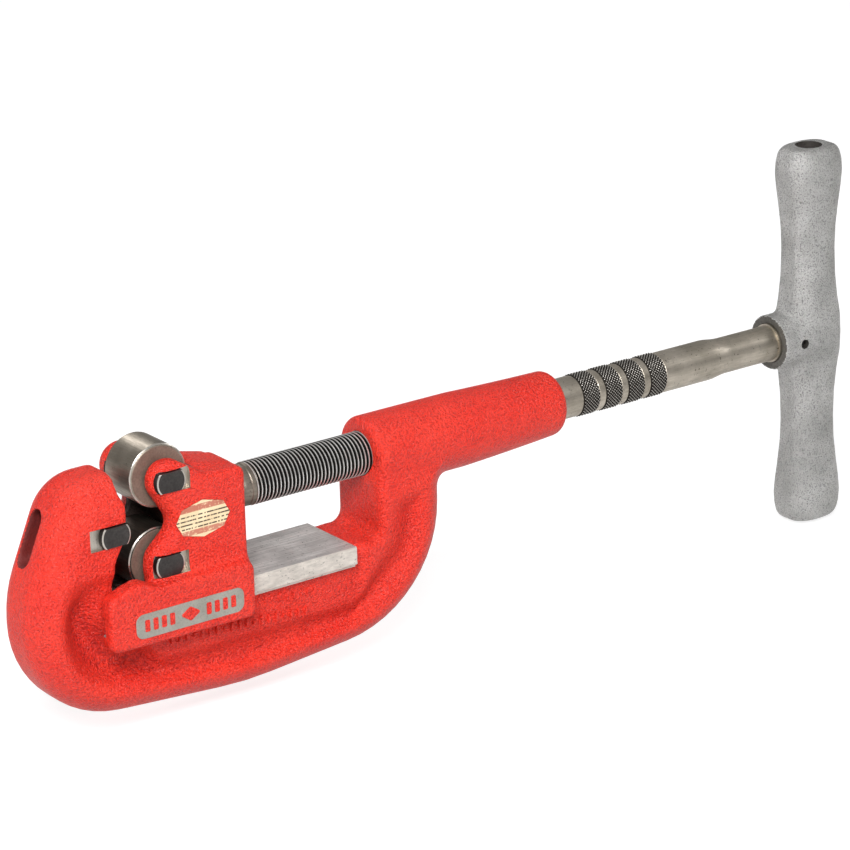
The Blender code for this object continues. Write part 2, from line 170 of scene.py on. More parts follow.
def red_enamel():
    """Red paint over a sand-cast surface, coarser in the casting's hollows, where patchy painted shade
    darkens it.
    """
    made, tree, shader = nodes_of("red_enamel_paint")
    place = object_place(tree)
    parts = parts_of(tree, place)
    facing = parts_of(tree, tree.nodes.new("ShaderNodeTexCoord").outputs["Normal"])
    deep = ramp(tree, times(tree, maths(tree, "ABSOLUTE", parts[1]), 20.0), (0.20, 1.0), (0.37, 0.0))
    low = ramp(tree, times(tree, parts[2], -10.0), (0.10, 0.0), (0.35, 1.0))
    sideways = ramp(tree, maths(tree, "ABSOLUTE", facing[1]), (0.35, 0.0), (0.75, 1.0))
    hollow = times(tree, times(tree, deep, low), sideways)
    patches, grain = noise(tree, place, 45, 3), noise(tree, place, 1700, 2)
    pebbles, coarse = noise(tree, place, 900, 2, 0.5), noise(tree, place, 480, 2, 0.5)
    colour = ramp(tree, patches, (0.3, (0.84, 0.028, 0.013)), (0.7, (0.93, 0.044, 0.021)))
    colour = mixed(tree, ramp(tree, pebbles, (0.33, 0.58), (0.53, 0.0)), colour, (0.46, 0.010, 0.008))
    colour = mixed(tree, ramp(tree, grain, (0.36, 0.45), (0.50, 0.0)), colour, (0.50, 0.010, 0.008))
    # Painted shade: patchy darkening of the side faces down in the recesses and low on the casting.
    hollow_shade = times(tree, hollow, ramp(tree, coarse, (0.40, 0.62), (0.58, 0.06)))
    colour = mixed(tree, hollow_shade, colour, (0.40, 0.008, 0.008))
    rough = ramp(tree, patches, (0.3, 0.32), (0.7, 0.42))
    put(tree, shader, Base_Color=colour, Roughness=rough, Specular_IOR_Level=0.36, Coat_Weight=0.12,
        Coat_Roughness=0.22)
    strong = maths(tree, "ADD", times(tree, hollow, 0.5), 0.25)
    bumped(tree, shader, (coarse, 1.7, strong), (pebbles, 1.8, 0.9), (grain, 0.6, 0.8))
    return made


def darker(colour, share):
    return tuple(part * share for part in colour)


def bare_steel(name, dark, light, rough, stretch=EVEN, pits=0.2, lines=0.3, metallic=1.0):
    """Machined or ground steel with fine lines along one way, stains and small pits."""
    made, tree, shader = nodes_of(name)
    place, along = object_place(tree), object_place(tree, stretch)
    stains, streaks = noise(tree, place, 60, 4, 0.6), noise(tree, along, 900, 3, 0.6)
    dots = noise(tree, place, 700, 3, 0.7)
    colour = ramp(tree, stains, (0.3, dark), (0.68, light))
    colour = mixed(tree, ramp(tree, streaks, (0.35, lines), (0.65, 0.0)), colour, darker(dark, 0.55))
    colour = mixed(tree, ramp(tree, dots, (0.30, pits * 2), (0.38, 0.0)), colour, (0.03, 0.022, 0.018))
    shine = ramp(tree, streaks, (0.3, rough + 0.12), (0.7, rough - 0.06))
    put(tree, shader, Base_Color=colour, Roughness=shine, Metallic=metallic)
    bumped(tree, shader, (streaks, 0.04, 0.25), (dots, 0.06, 0.35))
    return made


def cast_metal(name, dark, light, rough, metallic, scale=900.0, depth=0.6, specks=0.3):
    """Unpainted cast metal with a pebbled skin and dark specks."""
    made, tree, shader = nodes_of(name)
    place = object_place(tree)
    clouds, pebbles = noise(tree, place, 55, 3), noise(tree, place, scale, 2, 0.5)
    dust = noise(tree, place, scale * 2.2, 2, 0.6)
    colour = ramp(tree, clouds, (0.3, dark), (0.7, light))
    colour = mixed(tree, ramp(tree, pebbles, (0.32, specks), (0.5, 0.0)), colour, darker(dark, 0.5))
    colour = mixed(tree, ramp(tree, dust, (0.30, specks), (0.42, 0.0)), colour, darker(dark, 0.3))
    put(tree, shader, Base_Color=colour, Metallic=metallic,
        Roughness=ramp(tree, pebbles, (0.3, rough + 0.1), (0.7, rough - 0.05)))
    bumped(tree, shader, (pebbles, depth, 0.8), (dust, depth * 0.35, 0.7))
    return made


def shade_ridged_steel(name, root, crest, dark, light):
    """Steel with painted shade in its grooves and a painted highlight on its crests, by the distance from
    the X axis.
    """
    made, tree, shader = nodes_of(name)
    place = object_place(tree)
    parts = parts_of(tree, place)
    squares = [times(tree, part, part) for part in parts[1:]]
    across = maths(tree, "SQRT", maths(tree, "ADD", *squares))
    height = maths(tree, "DIVIDE", maths(tree, "SUBTRACT", across, root * MM), (crest - root) * MM)
    stains, grain = noise(tree, place, 90, 3), noise(tree, place, 1500, 2)
    crest_highlight = mixed(tree, ramp(tree, stains, (0.3, 0.6), (0.7, 0.0)), light, darker(light, 0.72))
    # Painted shade towards the roots, painted highlight on the crests.
    colour = mixed(tree, ramp(tree, height, (0.66, 0.0), (0.99, 1.0)), dark, crest_highlight)
    put(tree, shader, Base_Color=colour, Metallic=0.7, Roughness=ramp(tree, height, (0.2, 0.6), (0.9, 0.3)))
    bumped(tree, shader, (grain, 0.05, 0.3))
    return made


def label_print():
    """A cream paper label with a red band above, one below, and rows of broken dark dashes for print."""
    made, tree, shader = nodes_of("printed_label")
    place = object_place(tree)
    up = parts_of(tree, place)[2]
    height = maths(tree, "ADD", maths(tree, "DIVIDE", up, 18 * MM), 0.5)
    fibres, wear = noise(tree, place, 800, 3), noise(tree, place, 150, 3)
    paper = ramp(tree, wear, (0.3, (0.74, 0.56, 0.33)), (0.7, (0.86, 0.70, 0.46)))
    rows = maths(tree, "SINE", times(tree, up, 2 * math.pi / (PRINT_PITCH * MM)))
    words = noise(tree, object_place(tree, (1, 1, 0.15)), 1300, 1)
    ink = times(tree, ramp(tree, rows, (0.35, 0.0), (0.6, 1.0)),
                ramp(tree, words, (0.40, 0.0), (0.46, 1.0)))
    inside = ramp(tree, height, (0.27, 0.0), (0.29, 1.0), (0.71, 1.0), (0.73, 0.0))
    colour = mixed(tree, times(tree, ink, inside), paper, (0.05, 0.03, 0.02))
    bands = ramp(tree, height, (0.10, 0.0), (0.11, 0.75), (0.25, 0.75), (0.26, 0.0),
                 (0.74, 0.0), (0.75, 0.8), (0.91, 0.8), (0.92, 0.0))
    worn_bands = times(tree, bands, ramp(tree, fibres, (0.36, 0.3), (0.44, 1.0)))
    colour = mixed(tree, worn_bands, colour, (0.42, 0.045, 0.030))
    put(tree, shader, Base_Color=colour, Roughness=ramp(tree, wear, (0.3, 0.35), (0.7, 0.5)))
    bumped(tree, shader, (fibres, 0.03, 0.3))
    return made


RED = red_enamel()
DARK_RED = cast_metal("red_shadowed_core", (0.10, 0.009, 0.008), (0.21, 0.018, 0.014), 0.6, 0.0)
# Painted shade: near-black for the faces inside the frame's wheel pocket and between the slide's cheeks.
POCKET_SHADE = cast_metal("painted_shade_throat", (0.020, 0.012, 0.009), (0.045, 0.026, 0.020), 0.5, 0.0)
# Painted shade: dark grey for the insides of the T-handle's holes and socket.
SHADED_HOLE = cast_metal("shaded_cored_hole", (0.045, 0.04, 0.036), (0.09, 0.08, 0.072), 0.7, 0.6)
NUT_IRON = cast_metal("nut_grey_iron", (0.20, 0.19, 0.18), (0.34, 0.32, 0.30), 0.5, 1.0)
HUB_FACE = cast_metal("hub_sawn_face", (0.10, 0.095, 0.085), (0.17, 0.160, 0.145), 0.55, 0.6)
PLATE_IRON = cast_metal("nameplate_bare_iron", (0.36, 0.35, 0.305), (0.52, 0.50, 0.445), 0.42, 0.6,
                        scale=1200.0, depth=0.25)
CAST_ALUMINIUM = cast_metal("cast_handle_metal", (0.45, 0.445, 0.43), (0.68, 0.67, 0.655), 0.33, 0.85,
                            scale=1250.0, depth=1.5, specks=0.8)
RAIL_STEEL = bare_steel("rail_ground_iron", (0.46, 0.43, 0.415), (0.78, 0.745, 0.72), 0.40,
                        (0.04, 1, 1), pits=0.5, lines=0.6, metallic=0.5)
RAIL_SIDE = bare_steel("rail_milled_side", (0.64, 0.585, 0.53), (0.90, 0.84, 0.76), 0.45,
                       (0.2, 1, 0.6), pits=0.4, lines=0.45, metallic=0.5)
CUT_STEEL = bare_steel("milled_seat_iron", (0.55, 0.50, 0.44), (0.80, 0.74, 0.66), 0.4, (1, 1, 0.1))
SHANK = bare_steel("shank_steel", (0.42, 0.375, 0.305), (0.70, 0.635, 0.545), 0.42, TURNED_ON_X, pits=0.4)
# Painted shade: a darker copy of the shank steel, for the screw's nose beside the housing.
SHADED_NOSE = bare_steel("shaded_nose_steel", (0.19, 0.160, 0.130), (0.38, 0.330, 0.275), 0.40, TURNED_ON_X,
                  pits=0.4, lines=0.35)
ROLL = bare_steel("roll_dark_steel", (0.30, 0.262, 0.210), (0.54, 0.475, 0.395), 0.36, GROUND_ON_Y,
                  pits=0.25, lines=0.4, metallic=0.9)
# Painted shade: a darker copy of the roll steel, for the lower roll down in the throat.
SHADED_ROLL = bare_steel("shaded_roll_steel", (0.045, 0.036, 0.029), (0.10, 0.082, 0.066), 0.5, GROUND_ON_Y,
                       pits=0.25, lines=0.4, metallic=0.9)
ROLL_FACE = bare_steel("roll_face_steel", (0.19, 0.125, 0.095), (0.30, 0.215, 0.170), 0.55, metallic=0.5)
WORN_EDGE = bare_steel("worn_edge_steel", (0.60, 0.56, 0.50), (0.85, 0.80, 0.74), 0.3, lines=0.2)
BLACK_OXIDE = bare_steel("black_oxide_steel", (0.065, 0.060, 0.058), (0.125, 0.115, 0.110), 0.42)
WHEEL = bare_steel("wheel_tool_steel", (0.10, 0.09, 0.08), (0.22, 0.20, 0.18), 0.36)
# The thread and knurl: near-black painted shade in their grooves, near-white painted highlight on their
# crests.
THREAD = shade_ridged_steel("thread_steel", THREAD_ROOT, THREAD_R, (0.012, 0.011, 0.010), (0.95, 0.93, 0.90))
KNURL = shade_ridged_steel("knurl_steel", KNURL_R - 0.85, KNURL_R, (0.022, 0.018, 0.014), (0.86, 0.82, 0.76))
LABEL = label_print()


# Making meshes

def new_object(name, data):
    made = bpy.data.objects.new(name, data)
    bpy.context.scene.collection.objects.link(made)
    return made


def smooth(mesh, angle):
    mesh.polygons.foreach_set("use_smooth", [True] * len(mesh.polygons))
    if angle:
        mesh.set_sharp_from_angle(angle=math.radians(angle))


def piece_of(name, mesh, paints, body, stands_for=(), at=(0, 0, 0), angle=35):
    """A piece that rides on this body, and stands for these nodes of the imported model."""
    made = new_object(name, mesh)
    made.location = ZERO + Vector(at) * MM
    for paint in paints:
        mesh.materials.append(paint)
    smooth(mesh, angle)
    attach(made, body)
    if stands_for:
        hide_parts(*stands_for)
    return made


def mesh_from(name, points, faces, materials=None):
    mesh = bpy.data.meshes.new(name)
    corners = [list(map(int, face)) for face in faces]
    mesh.from_pydata((np.asarray(points, float) * MM).tolist(), [], corners)
    if materials is not None:
        mesh.polygons.foreach_set("material_index", list(materials))
    mesh.update()
    return mesh


def mesh_of(name, built):
    """The mesh of this bmesh, which is freed."""
    mesh = bpy.data.meshes.new(name)
    built.to_mesh(mesh)
    built.free()
    return mesh


def facing_out(mesh):
    built = bmesh.new()
    built.from_mesh(mesh)
    bmesh.ops.recalc_face_normals(built, faces=built.faces)
    built.to_mesh(mesh)
    built.free()
    return mesh


def rounded(corners, steps=8):
    """The outline through (x, z, radius) corners, each rounded by an arc."""
    spots = [Vector(corner[:2]) for corner in corners]
    points = []
    for i, (here, (_, _, radius)) in enumerate(zip(spots, corners)):
        before = (spots[i - 1] - here).normalized()
        after = (spots[(i + 1) % len(spots)] - here).normalized()
        half = before.angle(after) / 2
        if radius == 0 or half > math.radians(89):
            points.append(here)
            continue
        middle = here + (before + after).normalized() * radius / math.sin(half)
        start = here + before * radius / math.tan(half) - middle
        turn = -start.angle_signed(here + after * radius / math.tan(half) - middle)
        count = max(2, math.ceil(steps * abs(turn) / (math.pi / 2)))
        points += [middle + Matrix.Rotation(turn * step / count, 2) @ start for step in range(count + 1)]
    return points


def outline_distance(outline, x, z):
    """How far each (x, z) is outside the outline, in mm; inside it is negative."""
    nearest, inside = np.full(x.shape, 1e9), np.zeros(x.shape, bool)
    for a, b in zip(outline, outline[1:] + outline[:1]):
        run, rise = b[0] - a[0], b[1] - a[1]
        length = run * run + rise * rise
        if length < 1e-12:
            continue
        along = np.clip(((x - a[0]) * run + (z - a[1]) * rise) / length, 0, 1)
        nearest = np.minimum(nearest, np.hypot(x - a[0] - along * run, z - a[1] - along * rise))
        if rise:
            crosses = (a[1] > z) != (b[1] > z)
            inside ^= crosses & (x < run * (z - a[1]) / rise + a[0])
    return np.where(inside, -nearest, nearest)


def soft_min(a, b, k):
    h = np.clip(0.5 + 0.5 * (b - a) / k, 0, 1)
    return b * (1 - h) + a * h - k * h * (1 - h)


def soft_max(a, b, k):
    return -soft_min(-a, -b, k)


def step_up(value):
    value = np.clip(value, 0, 1)
    return value * value * (3 - 2 * value)


def round_corner(a, b, radius):
    """Where both a and b are inside, with the edge between them rounded."""
    over, side = a + radius, b + radius
    outside = np.hypot(np.maximum(over, 0), np.maximum(side, 0))
    return np.minimum(np.maximum(over, side), 0) + outside - radius


def box_distance(values, low, high):
    """How far outside this box, with one low and high for each value."""
    return np.maximum.reduce(np.broadcast_arrays(*[np.maximum(lo - v, v - hi)
                                                   for v, lo, hi in zip(values, low, high)]))


def axes(low, high, step):
    spans = [np.arange(lo, hi + step, step) for lo, hi in zip(low, high)]
    return spans[0][:, None, None], spans[1][None, :, None], spans[2][None, None, :]


def skin(name, field, low, step):
    """The surface where the field is zero, as one smooth mesh of quads."""
    inside = field < 0
    cells = tuple(n - 1 for n in field.shape)
    total, count = np.zeros(cells + (3,)), np.zeros(cells)
    for axis in range(3):
        near, far = [slice(None)] * 3, [slice(None)] * 3
        near[axis], far[axis] = slice(0, -1), slice(1, None)
        a, b = field[tuple(near)], field[tuple(far)]
        crossed = inside[tuple(near)] != inside[tuple(far)]
        part = np.where(crossed, a / np.where(crossed, a - b, 1), 0)
        others = [other for other in range(3) if other != axis]
        for shift in ((0, 0), (0, 1), (1, 0), (1, 1)):
            window = [slice(None)] * 3
            for other, moved in zip(others, shift):
                window[other] = slice(moved, moved + cells[other])
            here = crossed[tuple(window)]
            count += here
            total[..., axis] += np.where(here, part[tuple(window)], 0)
            for other, moved in zip(others, shift):
                total[..., other] += here * moved
    active = count > 0
    number = np.full(cells, -1)
    number[active] = np.arange(active.sum())
    spots = np.argwhere(active) + total[active] / count[active][:, None]
    faces = []
    for axis in range(3):
        one, two = [other for other in range(3) if other != axis]
        near, far = [slice(1, -1)] * 3, [slice(1, -1)] * 3
        near[axis], far[axis] = slice(0, -1), slice(1, None)
        a, b = inside[tuple(near)], inside[tuple(far)]
        for way, wanted in ((1, a & ~b), (-1, b & ~a)):
            index = np.argwhere(wanted) + 1
            index[:, axis] -= 1
            ring = []
            for back_one, back_two in ((1, 1), (0, 1), (0, 0), (1, 0)):
                cell = index.copy()
                cell[:, one] -= back_one
                cell[:, two] -= back_two
                ring.append(number[tuple(cell.T)])
            flip = way if axis != 1 else -way
            faces.append(np.stack(ring if flip > 0 else ring[::-1], 1))
    faces = np.concatenate(faces)
    faces = faces[(faces >= 0).all(1)]
    return mesh_from(name, spots * step + np.array(low), faces)


def mark_faces(piece, chooser):
    """Gives each face the material number that chooser says for its middle, in mm from the screw's axis."""
    middles = np.empty(len(piece.data.polygons) * 3)
    piece.data.polygons.foreach_get("center", middles)
    middles = middles.reshape(-1, 3) / MM
    piece.data.polygons.foreach_set("material_index", chooser(*middles.T).astype(int).tolist())


def helper(name, mesh, paint=None, at=(0, 0, 0)):
    made = new_object(name, mesh)
    made.location = ZERO + Vector(at) * MM
    if paint:
        mesh.materials.append(paint)
    return made


def carve(piece, *cutters):
    """Cuts these helpers from the piece, keeping each one's material on the faces that it makes."""
    for cutter in cutters:
        step = piece.modifiers.new("carve", "BOOLEAN")
        step.operation, step.solver, step.object = "DIFFERENCE", "MANIFOLD", cutter
        if cutter.data.materials:
            step.material_mode = "TRANSFER"
    bpy.context.view_layer.update()
    result = bpy.data.meshes.new_from_object(piece.evaluated_get(bpy.context.evaluated_depsgraph_get()))
    if not len(result.polygons):
        raise RuntimeError(f"carving {piece.name} left nothing")
    piece.modifiers.clear()
    piece.data = result
    for cutter in cutters:
        bpy.data.objects.remove(cutter)
    smooth(result, 35)


def block(name, low, high):
    """A plain box between two corners, for cutting with."""
    built = bmesh.new()
    bmesh.ops.create_cube(built, size=1)
    low, high = Vector(low) * MM, Vector(high) * MM
    bmesh.ops.scale(built, vec=high - low, verts=built.verts)
    bmesh.ops.translate(built, vec=(low + high) / 2, verts=built.verts)
    return mesh_of(name, built)


def drilled(name, radius, start=-40, end=40, paint=None, at=(0, 0, 0)):
    """A round cutter along Y."""
    sides = 32 if radius < 3 else 48
    return helper(name, turned(name, [(start, radius), (end, radius)], "Y", sides), paint, at)


def spin_points(points, axis, sides):
    """Rings of (along, radius) points about an axis, as arrays of points."""
    turns = np.arange(sides) * 2 * math.pi / sides
    along = np.array([p[0] for p in points])[:, None] + 0 * turns
    radius = np.array([p[1] for p in points])[:, None]
    one, two = radius * np.cos(turns), radius * np.sin(turns)
    order = {"X": (along, one, two), "Y": (one, along, two), "Z": (one, two, along)}[axis]
    return np.stack(order, -1).reshape(-1, 3)


def turned(name, profile, axis="X", sides=72, bore=0.0, paints=None):
    """A turned solid with the given (along, radius) profile, closed at its ends or bored through.
    paints gives the material index of each stretch of the profile."""
    points = list(profile)
    if bore:
        points += [(profile[-1][0], bore), (profile[0][0], bore)]
    verts = spin_points(points, axis, sides)
    rows = len(points)
    faces, marks = [], []
    for row in range(rows if bore else rows - 1):
        after = (row + 1) % rows
        for i in range(sides):
            j = (i + 1) % sides
            faces.append((row * sides + i, row * sides + j, after * sides + j, after * sides + i))
            marks.append(paints[row] if paints and row < len(paints) else 0)
    if not bore:
        faces += [list(range(sides)), list(range((rows - 1) * sides, rows * sides))]
        marks += [paints[0] if paints else 0, paints[-1] if paints else 0]
    return facing_out(mesh_from(name, verts, faces, marks))


def extruded(name, outline, low, high, axis="Y", crown=0.0):
    """A closed solid of this outline between two places along an axis, with a small bevel of crown mm."""
    rings = [(low, 0.0), (high, 0.0)] if not crown else [(low, crown), (low + crown, 0.0), (high, 0.0)]
    middle = sum((Vector(p) for p in outline), Vector((0, 0))) / len(outline)
    verts, size = [], len(outline)
    for along, shrink in rings:
        for p in outline:
            away = Vector(p) - middle
            spot = middle + away * (1 - shrink / max(away.length, 1e-6))
            verts.append({"Y": (spot.x, along, spot.y), "X": (along, spot.x, spot.y)}[axis])
    faces = [(r * size + i, r * size + (i + 1) % size, (r + 1) * size + (i + 1) % size, (r + 1) * size + i)
             for r in range(len(rings) - 1) for i in range(size)]
    faces += [list(range(size)), list(range((len(rings) - 1) * size, len(rings) * size))]
    return facing_out(mesh_from(name, verts, faces))


# The frame casting

def throat_outline():
    """The window for the pipe, from the hook's face round to the upright, open above."""
    base = RAIL_TOP - 0.5
    return rounded([(-114.6, 60, 0), (-114.6, 25, 4), (-116.4, 19, 6), (-113.6, 12.5, 8),
                    (-113.9, -1.5, 12), (-120.6, -13.5, 9), (-121.6, -27, 6), (-119.5, base, 3),
                    (UPRIGHT_LEFT, base, 5.5), (UPRIGHT_LEFT, 60, 0)])


def rounded_box_distance(x, z, low, high, radius):
    one = np.abs(x - (low[0] + high[0]) / 2) - (high[0] - low[0]) / 2
    two = np.abs(z - (low[1] + high[1]) / 2) - (high[1] - low[1]) / 2
    return round_corner(one, two, radius)


def recess_depth(x, z, rim):
    """How far the casting's side is hollowed at each (x, z), where rim is the distance in from its rim."""
    window = rounded_box_distance(x, z, (-122, -42), (30, 60), 8)
    hook = rounded_box_distance(x, z, (-220, -17), (-100, 60), 8)
    barrel = rounded_box_distance(x, z, (16, -9), (220, 60), 8)
    away = soft_min(soft_min(window, hook, 10.0), barrel, 10.0)
    left, right = step_up((-94 - x) / 22), step_up((x - 10) / 22)
    wall, set_back = 6.5 + 10.0 * left + 7.0 * right, 19.0 * (1 - left) * (1 - right)
    valley = step_up((rim - 10.5) / wall) * step_up((away + 1.0 - set_back) / (15 + 6 * right + 5 * left))
    deep = 7.0 + 5.5 * left - 1.6 * right
    under_rail = 3.2 * step_up((21 - x) / 9) * step_up((rim - 11) / 9) * step_up((-36 - z) / 3)
    beside_skirt = 3.2 * step_up((rim - 10) / 13) * step_up((-16.5 - z) / 8) * step_up((-104 - x) / 4)
    return soft_max(soft_max(deep * valley, under_rail, 1.5), beside_skirt, 2.5)


def frame_outline():
    """The casting from the side, without the barrel and before the window is cut."""
    return rounded([(-96, 26.0, 0), (-140.5, 26.0, 25), (-163.4, -27, 64), (-163.4, -87.0, 48.5),
                    (-112, -91.4, 100), (-48, -96.0, 180), (UPRIGHT_RIGHT, -85.6, 63),
                    (UPRIGHT_RIGHT, -5, 0), (9, -5, 0), (9, -20, 0), (-96, -20, 0)], 12)


def slot_distance(y, z):
    """How far outside the chip slot's long round-ended section."""
    return np.hypot(y - 5.0, np.maximum(np.abs(z + 0.8) - 7.8, 0)) - 4.8


def frame_field(x, y, z):
    side = np.abs(y)
    outer = frame_outline()
    flat_x, flat_z = np.broadcast_arrays(x, z)
    edge = outline_distance(outer, flat_x, flat_z)
    solid = round_corner(edge, side - FRAME_HALF, np.where(y > 0, FAR_ROUND, NEAR_ROUND))
    depth = recess_depth(x, z, -edge)
    solid = soft_max(solid, side - (FRAME_HALF + 2 - depth - 2 * step_up(depth / 1.5)), 2.5)
    taper = np.clip((x - 85) / (BARREL_RIGHT - 85), 0, 1)
    barrel = np.hypot(y, z + 1.0 - taper ** 2) - (BARREL_R + (BARREL_TIP_R - BARREL_R) * taper)
    barrel = round_corner(barrel, np.maximum(UPRIGHT_LEFT - x, x - BARREL_RIGHT), 4.5)
    solid = soft_min(solid, barrel, 7.0)
    opening = outline_distance(throat_outline(), flat_x, flat_z)
    solid = soft_max(solid, -opening, 2.0 + 3.5 * step_up((x - 10) / 12))
    mouth = box_distance((x, z), (WHEEL_X, -17.5), (-90, 20.5))
    pocket = np.minimum(np.hypot(x - WHEEL_X, z) - (WHEEL_R + 4.2), mouth)
    solid = soft_max(solid, -np.maximum(pocket, side - WHEEL_HALF - 0.6), 1.2)
    return soft_max(solid, -np.maximum(slot_distance(y, z), x + 132), 1.4)


def frame_casting():
    low, high, step = (-165.5, -23.5, -99.5), (147.5, 23.5, 29.5), 1.0
    field = frame_field(*axes(low, high, step))
    body = piece_of("frame_casting", skin("frame_casting", field, low, step),
                    [RED, POCKET_SHADE, DARK_RED], "frame", ["frame"], angle=0)

    # Faces in the wheel pocket get the near-black painted shade, faces in the chip slot the shadowed dark
    # red.
    def inside(x, y, z):
        in_mouth = (x > WHEEL_X) & (x < -100) & (z > -18.5) & (z < 21.2)
        in_pocket = in_mouth | (np.hypot(x - WHEEL_X, z) < WHEEL_R + 5.2)
        in_slot = (slot_distance(y, z) < 0.5) & (x < -130)
        return np.where(in_pocket & (np.abs(y) < WHEEL_HALF + 1.2), 1, np.where(in_slot, 2, 0))
    mark_faces(body, inside)
    axis, free = (WHEEL_X, 0, 0), THREAD_R + 0.3
    seat = block("seat", (WHEEL_X - 13.2, -40, -HEAD_FLAT - 0.4),
                 (-100, -FRAME_HALF + 2.4, HEAD_FLAT + 0.5))
    bore = turned("bore", [(10, free), (31, free), (31.01, 14.5), (66.2, 14.5), (66.21, free),
                           (170, free)], "X", 72)
    rail_room = block("rail_room", (THROAT_X - 0.6, -30, RAIL_TOP - RAIL_THICK),
                      (RAIL_RIGHT, 30, RAIL_TOP + 1.5))
    carve(body, helper("seat", seat, CUT_STEEL),
          drilled("clip_seat", 8.0, FRAME_HALF - 1.2, paint=CUT_STEEL, at=axis),
          drilled("hole", PIN_R + PIN_FREE, paint=CUT_STEEL, at=axis),
          helper("bore", bore, CUT_STEEL), helper("rail_room", rail_room, RAIL_STEEL))
    guide_rail()
    cast_ornament()


def guide_rail():
    """The machined rail: a ground top, milled sides and a narrow step under them."""
    side, base = -RAIL_HALF, RAIL_TOP - RAIL_THICK
    outline = [(side, RAIL_TOP - 0.5), (side, base + 0.4), (side + 0.4, base), (side + 1.9, base),
               (side + 1.9, base - 1.5), (side + 6, base - 1.5)]
    mirrored = [(-y, z) for y, z in reversed(outline)]
    top = [(RAIL_HALF - 0.5, RAIL_TOP), (-RAIL_HALF + 0.5, RAIL_TOP)]
    mesh = extruded("guide_rail", outline + mirrored + top, THROAT_X - 0.4, RAIL_RIGHT, "X")
    rail = piece_of("guide_rail", mesh, [RAIL_STEEL, RAIL_SIDE], "frame", ["frame"],
                    angle=25)
    mark_faces(rail, lambda x, y, z: z < RAIL_TOP - 0.1)


def side_surface(x, z):
    """Half the casting's width at one place on its side, for what is raised from it."""
    x, z = np.array([[x]]), np.array([[z]])
    return FRAME_HALF - float(recess_depth(x, z, -outline_distance(frame_outline(), x, z))[0, 0])


def bar_row(name, side, start, end, count, tall, proud):
    """A row of small raised bars on the beam, each fourth one short, leaning with the surface."""
    built = bmesh.new()
    for i in range(count):
        part = i / (count - 1)
        x, z = start[0] + (end[0] - start[0]) * part, start[1] + (end[1] - start[1]) * part
        size = Vector((1.5, 3.4, tall * (0.45 if i % 4 == 3 else 1))) * MM
        lean = math.atan2(side_surface(x, z + 2) - side_surface(x, z - 2), 4) * side
        spot = Vector((x, side * (side_surface(x, z) + proud - 1.7), z)) * MM
        mark = bmesh.ops.create_cube(built, size=1)["verts"]
        bmesh.ops.scale(built, vec=size, verts=mark)
        bmesh.ops.rotate(built, verts=mark, matrix=Matrix.Rotation(lean, 3, "X"))
        bmesh.ops.translate(built, vec=spot, verts=mark)
    bmesh.ops.bevel(built, geom=built.edges[:], offset=0.3 * MM, segments=2, affect="EDGES", profile=0.5)
    piece_of(name, mesh_of("cast_bars", built), [RED], "frame", ())


def cast_ornament():
    """Two rows of bars on each side of the beam, in the place of cast lettering. The skirt passes
    over the second row, so it stands out less."""
    rows = [((-92.0, -58.8), (-17.0, -64.2), 19, 4.4, 1.3), ((-47.0, -52.4), (-11.0, -55.2), 10, 4.6, 0.5)]
    for number, row in enumerate(rows):
        for side, word in SIDES:
            bar_row(f"cast_bars_{number}_{word}", side, *row)


# The slide

def slide_field(x, y, z):
    side = np.abs(y)
    flat_x, flat_z = np.broadcast_arrays(x, z)
    base, right = RAIL_TOP + 0.3, CHEEK_RIGHT
    cheek = rounded([(-100.1, 28.9, 9.5), (-87, 28.9, 9), (-71.5, 19.4, 5), (right, 18.2, 4),
                     (right, base, 0), (-101.6, base, 0), (-103.6, -22, 8), (-102.6, -14.5, 8),
                     (-89.2, -1.8, 7), (-100.1, 16.5, 8)], 10)
    far_cheek = rounded([(-105.4, 31.0, 11), (-89, 30.4, 9), (-77, 17.6, 6), (right, 13.0, 4),
                         (right, base, 0), (-106.6, base, 0), (-107.6, -20, 6), (-106.5, -9, 8),
                         (-94.6, -1.5, 7), (-93.8, 6, 8), (-105.4, 16, 8)], 10)
    near, far = (outline_distance(outline, flat_x, flat_z) for outline in (cheek, far_cheek))
    solid = round_corner(near + (far - near) * step_up((y - 4) / 4), side - CHEEK_HALF,
                         2.8 + 3.8 * step_up((-80 - x) / 9))
    middle = rounded([(-74.5, 21.2, 5), (-66, 20.4, 14), (-50.7, 16.8, 5), (-50.7, -30, 0),
                      (-74.5, -30, 0)], 8)
    dome = round_corner(outline_distance(middle, flat_x, flat_z), side - 15, 6.0)
    skirt = rounded([(-50.8, -27.0, 5), (-50.8, -55, 4), (-129.6, -54.2, 4.5), (-129.6, -28.5, 4),
                     (-120, -24.5, 5), (-112, -22.6, 6), (-104, -26.8, 6)], 8)
    half = (SKIRT_OUT - SKIRT_IN) / 2
    flank = round_corner(outline_distance(skirt, flat_x, flat_z), np.abs(side - SKIRT_IN - half) - half,
                         2.4)
    between = side - CHEEK_GAP + 1.4 * (y > 0)
    round_upper, round_lower = (np.hypot(x - roll_x, z - roll_z) - ROLL_R - 1.6
                                for roll_x, roll_z in (UPPER_ROLL, LOWER_ROLL))
    gap = soft_max(between, np.minimum(round_upper, x + 84), 0.8)
    gap = soft_max(gap, np.maximum(-(z + 35.5), x + 74.9), 0.8)
    above = np.maximum(np.maximum(UPPER_ROLL[1] - z, between), x + 75.2)
    rooms = np.minimum(np.maximum(round_lower, between), np.maximum(round_upper, between))
    solid = soft_max(solid, -np.minimum(np.minimum(gap, above), rooms), 1.2)
    solid = soft_min(solid, dome, 2.5)
    return soft_min(solid, flank, 5.0)


